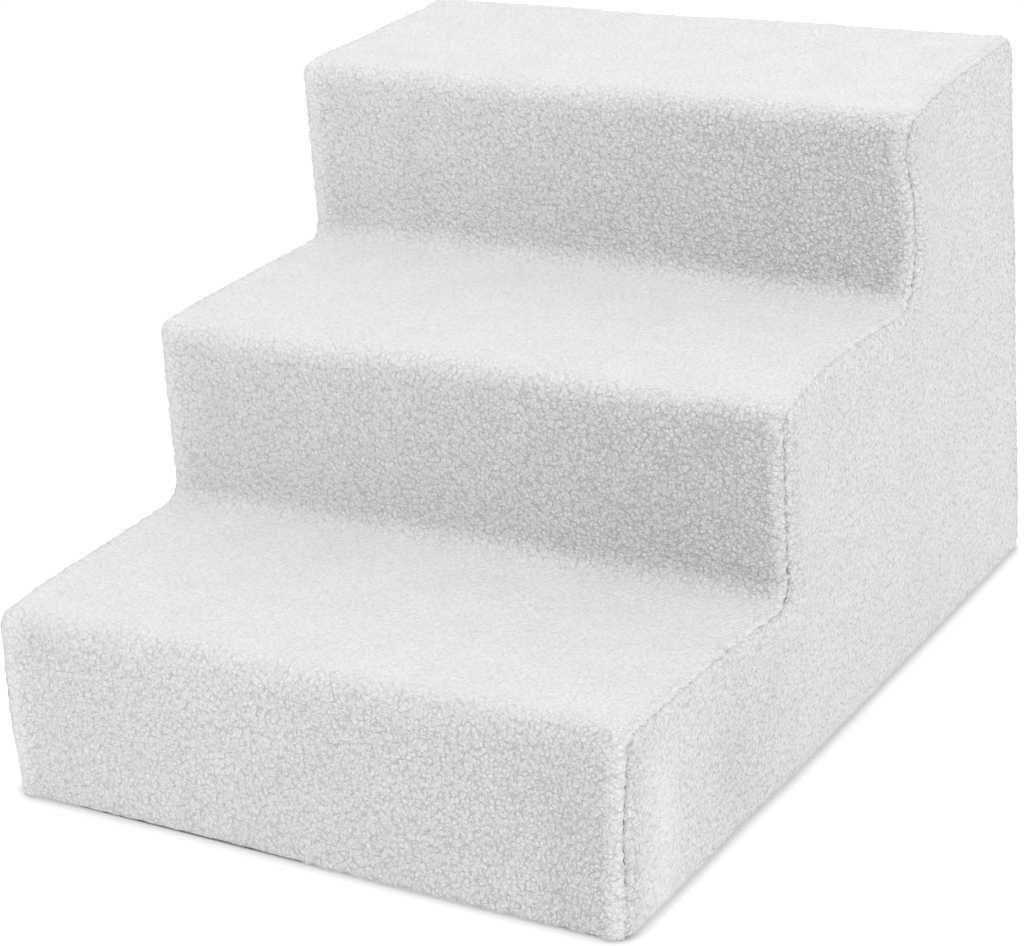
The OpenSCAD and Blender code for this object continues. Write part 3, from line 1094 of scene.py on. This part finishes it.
@dataclass
class StripCloth(Fleece):
    """A rectangular panel that follows an outline: the stepped strip, or the flat back."""

    # The nap sets the pile's relief and how much shade is painted into its creases.
    nap_flat: float = 0.28
    nap_blur: float = 10 * MM
    nap_rough: float = 0.63
    nap_right: Span = (0.25, 0.55)
    nap_calm: float = 0.35
    nap_calm_fade: Span = (12 * MM, 5 * MM)
    puff_flat: float = 0.5
    end_half: float = 0.05 * MM
    mitre_fade: Span = (60 * MM, 3 * MM)

    def weave(self, name: str, outline: Outline) -> bpy.types.Object:
        """Lay a closed shell along an outline, with a rolled edge all round.

        Args:
            name: Name of the piece.
            outline: Path of the outer face, with the frame on its right.

        Returns:
            The piece.
        """
        wide, length = self.stairs.wide, outline.length
        across = spaced(wide, self.half, self.pitch)
        along = spaced(length, self.half, self.pitch)
        across_half = rolled(np.minimum(across, wide - across), self.half)
        along_half = np.maximum(rolled(np.minimum(along, length - along), self.half), self.end_half)
        u, v = np.meshgrid(np.concatenate([across, across[UNDERSIDE]]), along)
        side = np.concatenate([across_half, -across_half[UNDERSIDE]])
        height = np.sign(side) * np.minimum(np.abs(side), along_half[:, None])
        outer = np.broadcast_to(np.arange(u.shape[1]) < len(across), u.shape)
        edge = np.minimum(u, wide - u)
        points, normals = outline.read(along)
        upright = np.abs(normals[:, 0, None])
        puff = gather(v, edge, Seed.STRIP_PUCKERS) * between(self.pucker_share, 1, upright)
        puff = puff + self.plump(edge) * between(self.puff_flat, 1, upright) + self.plump(length - v)
        offset = height - self.half + outer * puff
        mitre = self.mitre(points[:, 1, None], upright, 1) + self.fray * gather(v, 0 * v, Seed.STRIP_EDGE)
        place = np.empty((*u.shape, 3))
        place[..., 0] = (u - wide / 2) + np.sign(wide / 2 - u) * mitre * ease(edge, *self.mitre_fade)
        place[..., 1] = points[:, 0, None] + normals[:, 0, None] * offset
        place[..., 2] = points[:, 1, None] + normals[:, 1, None] * offset
        index = np.arange(u.size).reshape(u.shape)
        after = np.roll(index, -1, axis=1)
        quads = np.stack([index[:-1], after[:-1], after[1:], index[1:]], -1).reshape(-1, 4)
        faces = [tuple(quad) for quad in quads.tolist()]
        faces += [tuple(index[0][::-1].tolist()), tuple(index[-1].tolist())]
        piece = make_piece(name, self.slack.shifted(place.reshape(-1, 3)), faces)
        drawn = self.drawn(edge, self.draw * upright)
        drawn = np.where(u < wide / 2, drawn, wide - drawn)
        nap = self.naps(u, points[:, 1, None], self.blurred(upright, along))
        self.raise_pile(piece, np.stack([drawn, v], -1), self.shares(edge, outer), nap)
        return piece

    def naps(self, across: Array, z: Array, upright: Array) -> Array:
        """How rough the pile stands, and so how dark its painted crease shade: rougher up the risers and to
        the right, calmer beside the seams.

        Args:
            across: Place across the cloth.
            z: Height.
            upright: 1 on a riser, 0 on a tread.

        Returns:
            Values from 0, pressed smooth, to about 1.
        """
        wide = self.stairs.wide
        edge = np.minimum(across, wide - across)
        # Painted shade: the rougher pile towards the right darkens the risers towards the right.
        lowest, above = self.nap_right
        rightwards = np.where(z < self.stairs.tread_z(0), lowest, above)
        calm = 1 - self.nap_calm * ease(edge, *self.nap_calm_fade)
        rough = (self.nap_rough + rightwards * (across / wide) ** 2) * calm
        smooth = np.maximum(self.nap_flat, self.nap_seam * ease(edge, *self.nap_fade))
        return between(smooth, rough, upright**2)

    def blurred(self, values: Array, along: Array) -> Array:
        """Blur values along the cloth."""
        weights = np.exp(-(((along[:, None] - along) / self.nap_blur) ** 2))
        return weights @ values / weights.sum(1, keepdims=True)


@dataclass
class StepStrip(StripCloth):
    """The strip that runs up every riser and over every tread."""

    def build(self) -> bpy.types.Object:
        """Build and dress the strip.

        Returns:
            The piece.
        """
        stairs = self.stairs
        nose, corner = stairs.nose_r + stairs.out, stairs.corner_r
        rise, going = stairs.riser_h - nose - corner, stairs.tread_d - nose - corner
        outline = Outline(stairs.riser_y(0) - stairs.out, stairs.hem_lift, 90)
        outline.run(stairs.tread_z(0) + stairs.out - nose - stairs.hem_lift).bend(nose, -1)
        for _ in range(stairs.steps - 1):
            outline.run(going).bend(corner, 1).run(rise).bend(nose, -1)
        outline.run(stairs.top_tread_d + stairs.panel_t + 2 * stairs.out - nose - self.mitre_back)
        piece = self.weave("fleece_steps", outline)
        self.hand_over(piece, "cover_steps")
        return piece


@dataclass
class BackPanel(StripCloth):
    """The flat panel that closes the back."""

    def build(self, hangs_from: bpy.types.Object) -> bpy.types.Object:
        """Build and dress the panel.

        Args:
            hangs_from: Not used; the piece that its top edge is sewn to.

        Returns:
            The piece.
        """
        stairs = self.stairs
        top = stairs.tread_z(stairs.steps - 1) + stairs.out - self.mitre_back
        outline = Outline(stairs.riser_y(stairs.steps) + stairs.out, top, -90).run(top - stairs.hem_lift)
        piece = self.weave("fleece_back", outline)
        self.hand_over(piece, "cover_back")
        return piece


@dataclass
class SidePanel(Fleece):
    """A stair-shaped panel, sewn to the strip's edge along the corners."""

    hand: Hand = Hand.RIGHT
    puff: float = 0.8 * MM
    seam_gap: float = 0.3 * MM
    clearance: float = 0.2 * MM
    rim: float = 4.5 * MM
    heel_r: float = 2.6 * MM
    lining_pitch: float = 5 * MM
    ring_share: float = 0.7
    sewn_fade: Span = (0.9, 0.3)
    # The nap sets the pile's relief and how much shade is painted into its creases.
    nap: float = 0.58
    nap_seam: float = 0.75
    smooth: float = 0.35
    rough: float = 0.2
    rough_hump: Span = (112 * MM, 40 * MM)
    rough_height_hump: Span = (40 * MM, 40 * MM)
    elsewhere: Span = (2.0, 1.0)
    ridge: float = 1.2 * MM
    ridge_hump: Span = (33 * MM, 11 * MM)
    ridge_top_fade: Span = (98 * MM, 62 * MM)
    ridge_hem_fade: Span = (2 * MM, 30 * MM)
    swell: float = 2.0 * MM
    swell_hump: Span = (165 * MM, 34 * MM)
    swell_height_hump: Span = (60 * MM, 45 * MM)
    hollow: float = 1.0 * MM
    hollow_hump: Span = (112 * MM, 30 * MM)
    hollow_height_hump: Span = (40 * MM, 30 * MM)

    @property
    def grow(self) -> float:
        """How far its edge stands outside the frame, in side view."""
        return self.stairs.out - self.stairs.thick - self.seam_gap

    def outline(self) -> Outline:
        """Lay out its edge.

        Returns:
            A closed path, anticlockwise from the lower front corner.
        """
        stairs, grow = self.stairs, self.grow
        rim = stairs.nose_r + grow
        inner = stairs.corner_r + stairs.thick + self.seam_gap
        front, back = stairs.riser_y(0) - grow, stairs.riser_y(stairs.steps) + grow
        last = stairs.steps - 1
        outline = Outline(front + rim, stairs.hem_lift, 0)
        outline.run(back - front - 2 * rim).bend(rim, 1)
        outline.run(stairs.tread_z(last) + grow - stairs.hem_lift - rim - self.heel_r).bend(self.heel_r, 1)
        outline.run(back - stairs.riser_y(last) + grow - rim - self.heel_r).bend(rim, 1)
        for _ in range(last):
            outline.run(stairs.riser_h - rim - inner).bend(inner, -1)
            outline.run(stairs.tread_d - rim - inner).bend(rim, 1)
        outline.run(stairs.tread_z(0) + grow - stairs.hem_lift - 2 * rim).bend(rim, 1)
        return outline

    def behind(self, flat: Array) -> Array:
        """How far points of the flat panel lie behind the cover's front."""
        return flat[:, 0] - self.stairs.riser_y(0) + self.stairs.out

    def placed(self, flat: Array, depth: Array) -> Array:
        """Set the flat panel in its place, with the folds of its slack cloth.

        Args:
            flat: Points of the panel in side view.
            depth: Depth of each below the outer face.

        Returns:
            The points in space.
        """
        y, z = flat.T
        behind = self.behind(flat)
        fold = self.ridge * hump(behind, *self.ridge_hump)
        fold *= ease(z, *self.ridge_top_fade) * ease(z, *self.ridge_hem_fade)
        fold += self.swell * hump(behind, *self.swell_hump) * hump(z, *self.swell_height_hump)
        fold -= self.hollow * hump(behind, *self.hollow_hump) * hump(z, *self.hollow_height_hump)
        x = self.stairs.wide / 2 - depth + fold
        place = self.slack.shifted(np.stack([self.hand.value * x, y, z], 1))
        beside_frame = (np.abs(place[:, 1]) < self.stairs.frame_d / 2) & (place[:, 2] > self.stairs.foot_h)
        clear = np.where(beside_frame, self.stairs.frame_w / 2 + self.clearance, 0)
        place[:, 0] = self.hand.value * np.maximum(self.hand.value * place[:, 0], clear)
        return place

    def edge(self, outline: Outline, lengths: Array) -> tuple[Array, Array]:
        """Read the panel's edge off its outline, drawn in where it is sewn to the strip.

        Args:
            outline: The outline.
            lengths: Lengths along it.

        Returns:
            The points of the edge, and the unit vectors inwards from them.
        """
        points, inward = outline.read(lengths)
        snug = self.stairs.out - self.grow - self.mitre(points[:, 1:], np.abs(inward[:, :1]), -1)
        snug -= self.fray * gather(lengths, 0 * lengths, Seed.SIDE_EDGE)[:, None]
        snug = snug * ease(inward[:, 1:], *self.sewn_fade)
        return points - inward * snug, inward

    def depths(self, along: Array, distance: Array, beside: Array, outer: Array) -> Array:
        """How deep points of the panel lie below its taut outer face.

        Args:
            along: Place along the edge of the point of it that is nearest.
            distance: Distance from it.
            beside: Unit vector inwards from it.
            outer: Whether the point is on the outer side.

        Returns:
            Depth of each point.
        """
        depth = self.half + rolled(distance, self.half)
        depth[outer] = self.half * (1 - rolled(distance[outer], self.rim) / self.rim)
        sewn = ease(beside[:, 1], *self.sewn_fade)
        puckered = sewn * between(self.pucker_share, 1, np.abs(beside[:, 0]))
        puff = gather(along, distance, Seed.SIDE_PUCKERS) * puckered + self.plump(distance) * sewn
        return depth - outer * puff

    def naps(self, flat: Array, distance: Array, beside: Array) -> Array:
        """How rough the pile stands, and so how dark its painted crease shade: smooth over the front fold,
        rough behind it and at the seams.

        Args:
            flat: Points of the panel in side view.
            distance: Distance of each from the edge.
            beside: Unit vector inwards from the edge there.

        Returns:
            Values from 0, pressed smooth, to about 1.
        """
        behind, z = self.behind(flat), flat[:, 1]
        # The smoother pile over the front fold has less painted crease shade, so the fold is lighter.
        nap = self.nap * (1 - self.smooth * hump(behind, *self.ridge_hump) * ease(z, *self.ridge_top_fade))
        # Painted shade: the rougher pile over the hollow behind the fold darkens the hollow.
        nap += self.rough * hump(behind, *self.rough_hump) * hump(z, *self.rough_height_hump)
        return nap + (self.nap_seam - nap) * ease(distance, *self.nap_fade) * np.abs(beside[:, 0]) ** 2

    def build(self, hangs_from: bpy.types.Object) -> bpy.types.Object:
        """Build and dress the panel.

        Args:
            hangs_from: Not used; the piece that its edge is sewn to.

        Returns:
            The piece.
        """
        outline = self.outline()
        count = round(outline.length / self.pitch)
        lengths = np.linspace(0, outline.length, count, endpoint=False)
        points, inward = self.edge(outline, lengths)
        insets = self.half * (1 - np.cos(np.radians((*ROLL_ANGLES, 90))))
        rings = [points + inward * inset for inset in insets]
        middle, lining = (self.scatter(rings[-1], pitch) for pitch in (self.pitch, self.lining_pitch))
        flat = np.concatenate([*rings, middle, rings[-3], rings[-1], lining])
        inner = len(flat) - len(lining) - 2 * count
        outer = np.arange(len(flat)) < inner
        nearest, distance = self.nearest(points, flat)
        beside = inward[nearest]
        faces = self.rim_faces(count, len(rings), inner)
        faces += self.filled(rings[-1], middle, count * (len(rings) - 1))
        faces += [face[::-1] for face in self.filled(rings[-1], lining, inner + count)]
        if self.hand is Hand.LEFT:
            faces = [face[::-1] for face in faces]
        name = self.hand.name.lower()
        depth = self.depths(lengths[nearest], distance, beside, outer)
        piece = make_piece(f"fleece_{name}", self.placed(flat, depth), faces)
        cloth = flat + beside * (self.drawn(distance, 0.0) - distance)[:, None] + np.array(self.elsewhere)
        self.raise_pile(piece, cloth, self.shares(distance, outer), self.naps(flat, distance, beside))
        self.hand_over(piece, f"cover_{name}")
        return piece

    @staticmethod
    def nearest(points: Array, flat: Array) -> tuple[Array, Array]:
        """Find the point of the edge that is nearest to each point of the panel.

        Args:
            points: Points of the edge.
            flat: Points of the panel in side view.

        Returns:
            Its place in the edge, and its distance.
        """
        tree = KDTree(len(points))
        for index, (y, z) in enumerate(points.tolist()):
            tree.insert((y, z, 0), index)
        tree.balance()
        found = [tree.find((y, z, 0)) for y, z in flat.tolist()]
        return np.array([hit[1] for hit in found]), np.array([hit[2] for hit in found])

    @staticmethod
    def filled(ring: Array, middle: Array, first: int) -> list[tuple[int, ...]]:
        """List the triangles that fill a ring.

        Args:
            ring: The ring's points.
            middle: The points inside it, which follow the ring's in the panel.
            first: Place of the ring's first point in the panel.

        Returns:
            The triangles.
        """
        points = [Vector(point) for point in np.concatenate([ring, middle]).tolist()]
        triangles = delaunay_2d_cdt(points, [], [list(range(len(ring)))], 1, CDT_SLACK)[2]
        return [tuple(first + corner for corner in triangle) for triangle in triangles]

    def scatter(self, ring: Array, pitch: float) -> Array:
        """Scatter points inside a ring, on a hexagonal grid.

        Args:
            ring: The ring's points.
            pitch: Pitch of the grid.

        Returns:
            The points, none of them close to the ring.
        """
        low, high = ring.min(0), ring.max(0)
        row = pitch * HEX_ROW
        y, z = np.meshgrid(np.arange(low[0], high[0], pitch), np.arange(low[1] + row / 2, high[1], row))
        y[1::2] += pitch / 2
        points = np.stack([y.ravel(), z.ravel()], 1)
        inside = np.zeros(len(points), bool)
        near = np.full(len(points), np.inf)
        for (y0, z0), (y1, z1) in zip(ring.tolist(), np.roll(ring, -1, axis=0).tolist()):
            near = np.minimum(near, (points[:, 0] - y0) ** 2 + (points[:, 1] - z0) ** 2)
            if z0 != z1:
                crossed = (points[:, 1] > min(z0, z1)) & (points[:, 1] <= max(z0, z1))
                inside ^= crossed & (points[:, 0] < y0 + (points[:, 1] - z0) * (y1 - y0) / (z1 - z0))
        return points[inside & (near > (self.ring_share * pitch) ** 2)]

    @staticmethod
    def rim_faces(count: int, rings: int, inner: int) -> list[tuple[int, ...]]:
        """List the faces between the rings of the rolled edge, outer and inner.

        Args:
            count: Points in a ring.
            rings: Rings on the outer side, from the edge inwards.
            inner: Place in the panel of the inner side's two rings.

        Returns:
            The faces.
        """
        ring = np.arange(count)
        after = np.roll(ring, -1)
        faces: list[list[int]] = []
        for k in range(rings - 1):
            a, b = k * count, (k + 1) * count
            faces += np.stack([a + ring, a + after, b + after, b + ring], 1).tolist()
        for a, b in ((0, inner), (inner, inner + count)):
            faces += np.stack([a + after, a + ring, b + ring, b + after], 1).tolist()
        return [tuple(face) for face in faces]


@dataclass
class Cover:
    """The removable fleece cover: its four sewn panels."""

    stairs: StairSizes
    finish: FleeceFinish = field(default_factory=FleeceFinish)

    def build(self) -> None:
        """Build the four panels, in the order they are sewn."""
        cloth = (self.stairs, Slack(self.stairs), self.finish.material())
        strip = StepStrip(*cloth).build()
        SidePanel(*cloth, hand=Hand.LEFT).build(strip)
        SidePanel(*cloth, hand=Hand.RIGHT).build(strip)
        BackPanel(*cloth).build(strip)


@dataclass
class MouldedFrame:
    """The frame's carried-over nodes, which keep their shape and get their materials."""

    nodes: list[str]
    soft: str = "cover_"

    def dress(self) -> None:
        """Give every carried-over node its material."""
        plastic = PLASTIC.material()
        finishes = {
            "foot_": RUBBER.material(),
            "hook_tape_": TapeFinish(Nap.HOOK).material(),
            "loop_tape_": TapeFinish(Nap.LOOP).material(),
        }
        for node in self.nodes:
            if node.startswith(self.soft):
                continue
            material = next((m for start, m in finishes.items() if node.startswith(start)), plastic)
            slots = bpy.data.objects[node].data.materials
            for index in range(len(slots)):
                slots[index] = material


@dataclass
class Studio:
    """A pale floor that melts into a white backdrop, with a contact shadow painted on it, soft light and the
    photograph's camera.
    """

    wide: float
    azimuth: float = 31.033
    elevation: float = 21.01
    roll: float = -3.798
    distance: float = 4.524
    aside: float = -0.037
    above: float = -0.011
    aim_z: float = 0.1525
    focal: float = 3086.3
    centre: tuple[float, float] = (506.7, 410.5)
    image: tuple[int, int] = (1024, 946)
    sensor: float = 36.0
    ambient: float = 0.63
    front: float = 0.485
    rear: float = 0.60
    spread: float = 3.0
    glow_seen: float = 0.28
    glow_lent: float = 0.285
    floor_size: float = 12.0
    floor_tones: Span = (0.88, 0.9)
    floor_patches: float = 3.0
    # Painted contact shadow: how near the object the floor's colour and glow darken, and how its glow is
    # raised again right under the hems as painted light.
    contact: float = 9 * MM
    contact_shade: tuple[float, float, float, float] = (0.42, 0.93, 0.68, 1.0)
    contact_painted_light: tuple[float, float, float, float] = (0.1, 0.4, 0.5, 0.0)
    key: float = 11.0
    key_size: float = 1.8
    light_from: tuple[float, float, float] = (0.30, -0.15, 0.94)
    front_from: tuple[float, float, float] = (0.60, -0.75, 0.25)
    rear_from: tuple[float, float, float] = (-0.30, 0.60, 0.75)
    key_distance: float = 2.4

    def build(self) -> None:
        """Build the floor, the light, the backdrop and the camera."""
        self.floor()
        self.light()
        self.backdrop()
        self.camera()

    def floor(self) -> None:
        """Lay the floor, with a contact shadow painted round the object's base and painted light right under
        its hems.
        """
        bpy.ops.mesh.primitive_plane_add(size=self.floor_size, location=(0, 0, 0))
        floor = bpy.context.object
        floor.name = "floor"
        made, build, shader, place = new_material("floor_white")
        tone = build.remap(build.noise(place, self.floor_patches), *NOISE, 0.0, 1.0)
        white = build.tint(tone, *((level,) * 3 for level in self.floor_tones))
        # Painted contact shadow and painted light, by ambient occlusion: the floor darkens near the object
        # and glows brighter right under the hems.
        open_air = build.add("ShaderNodeAmbientOcclusion", {"Distance": self.contact}).outputs["AO"]
        clear = build.remap(open_air, *self.contact_shade)
        lift = build.remap(open_air, *self.contact_painted_light)
        rays = build.add("ShaderNodeLightPath").outputs["Is Camera Ray"]
        glow = build.remap(rays, 0.0, 1.0, self.glow_lent, self.glow_seen)
        shaded = build.add("ShaderNodeVectorMath", {0: white, "Scale": clear}, operation="SCALE").outputs[0]
        build.feed(
            shader,
            {
                "Base Color": shaded,
                "Roughness": 0.9,
                "Specular IOR Level": 0.1,
                "Emission Color": (1, 1, 1, 1),
                "Emission Strength": build.math("MULTIPLY", glow, build.math("ADD", clear, lift)),
            },
        )
        floor.data.materials.append(made)
        floor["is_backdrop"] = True

    def light(self) -> None:
        """Hang the key light, a large soft disc above the right-hand side."""
        data = bpy.data.lights.new("key", "AREA")
        data.shape = "DISK"
        data.size = self.key_size
        data.energy = self.key
        key = bpy.data.objects.new("key", data)
        towards = Vector(self.light_from).normalized()
        key.location = towards * self.key_distance
        key.rotation_euler = towards.to_track_quat("Z", "Y").to_euler()
        bpy.context.scene.collection.objects.link(key)

    def backdrop(self) -> None:
        """Light the room softly, more from the front right and from behind, and show it white."""
        world = bpy.data.worlds.new("studio")
        bpy.context.scene.world = world
        world.use_nodes = True
        build = Nodes(world.node_tree)
        rays = build.add("ShaderNodeLightPath").outputs["Is Camera Ray"]
        towards = build.add("ShaderNodeTexCoord").outputs["Generated"]
        lit: Any = self.ambient
        for power, source in ((self.front, self.front_from), (self.rear, self.rear_from)):
            facing = build.add(
                "ShaderNodeVectorMath", {0: towards, 1: Vector(source).normalized()}, operation="DOT_PRODUCT"
            ).outputs["Value"]
            lobe = build.math("POWER", build.math("MAXIMUM", facing, 0.0), self.spread)
            lit = build.math("ADD", lit, build.math("MULTIPLY", lobe, power))
        lit = build.math("MULTIPLY", lit, build.math("SUBTRACT", 1.0, rays))
        seen = build.math("ADD", lit, rays)
        build.feed(world.node_tree.nodes["Background"], {"Color": (1, 1, 1, 1), "Strength": seen})

    def camera(self) -> None:
        """Set the camera where the photograph was taken from."""
        azimuth, elevation, roll = (
            math.radians(angle) for angle in (self.azimuth, self.elevation, self.roll)
        )
        away = math.cos(elevation)
        back = Vector((math.sin(azimuth) * away, -math.cos(azimuth) * away, math.sin(elevation)))
        level = Vector((0, 0, 1)).cross(back).normalized()
        upright = back.cross(level)
        right = level * math.cos(roll) + upright * math.sin(roll)
        up = upright * math.cos(roll) - level * math.sin(roll)
        offset = back * self.distance + right * self.aside + up * self.above
        data = bpy.data.cameras.new("camera")
        data.sensor_width = self.sensor
        data.sensor_fit = "HORIZONTAL"
        data.lens = self.focal / self.image[0] * self.sensor
        data.shift_x = (self.image[0] / 2 - self.centre[0]) / self.image[0]
        data.shift_y = (self.centre[1] - self.image[1] / 2) / self.image[0]
        camera = bpy.data.objects.new("camera", data)
        turned = Matrix((right, up, back)).transposed().to_4x4()
        camera.matrix_world = Matrix.Translation(Vector((0, 0, self.aim_z)) + self.wide * offset) @ turned
        bpy.context.scene.collection.objects.link(camera)
        bpy.context.scene.camera = camera
        bpy.context.scene.view_settings.view_transform = "Standard"


def bounds() -> list[list[float]]:
    """Read the object's box.

    Returns:
        Its lowest and highest corners, as plain numbers.
    """
    return [[float(value) for value in corner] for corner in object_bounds()]


def main() -> None:
    """Build the stairs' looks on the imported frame, in order."""
    logging.basicConfig(level=logging.INFO, format="%(message)s")
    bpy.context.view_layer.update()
    stairs = StairSizes()
    Cover(stairs).build()
    MouldedFrame([part["node"] for part in frame["record"]["subparts"]]).dress()
    Studio(stairs.wide).build()
    log.info("visual box %s", bounds())


if __name__ == "__main__":
    main()
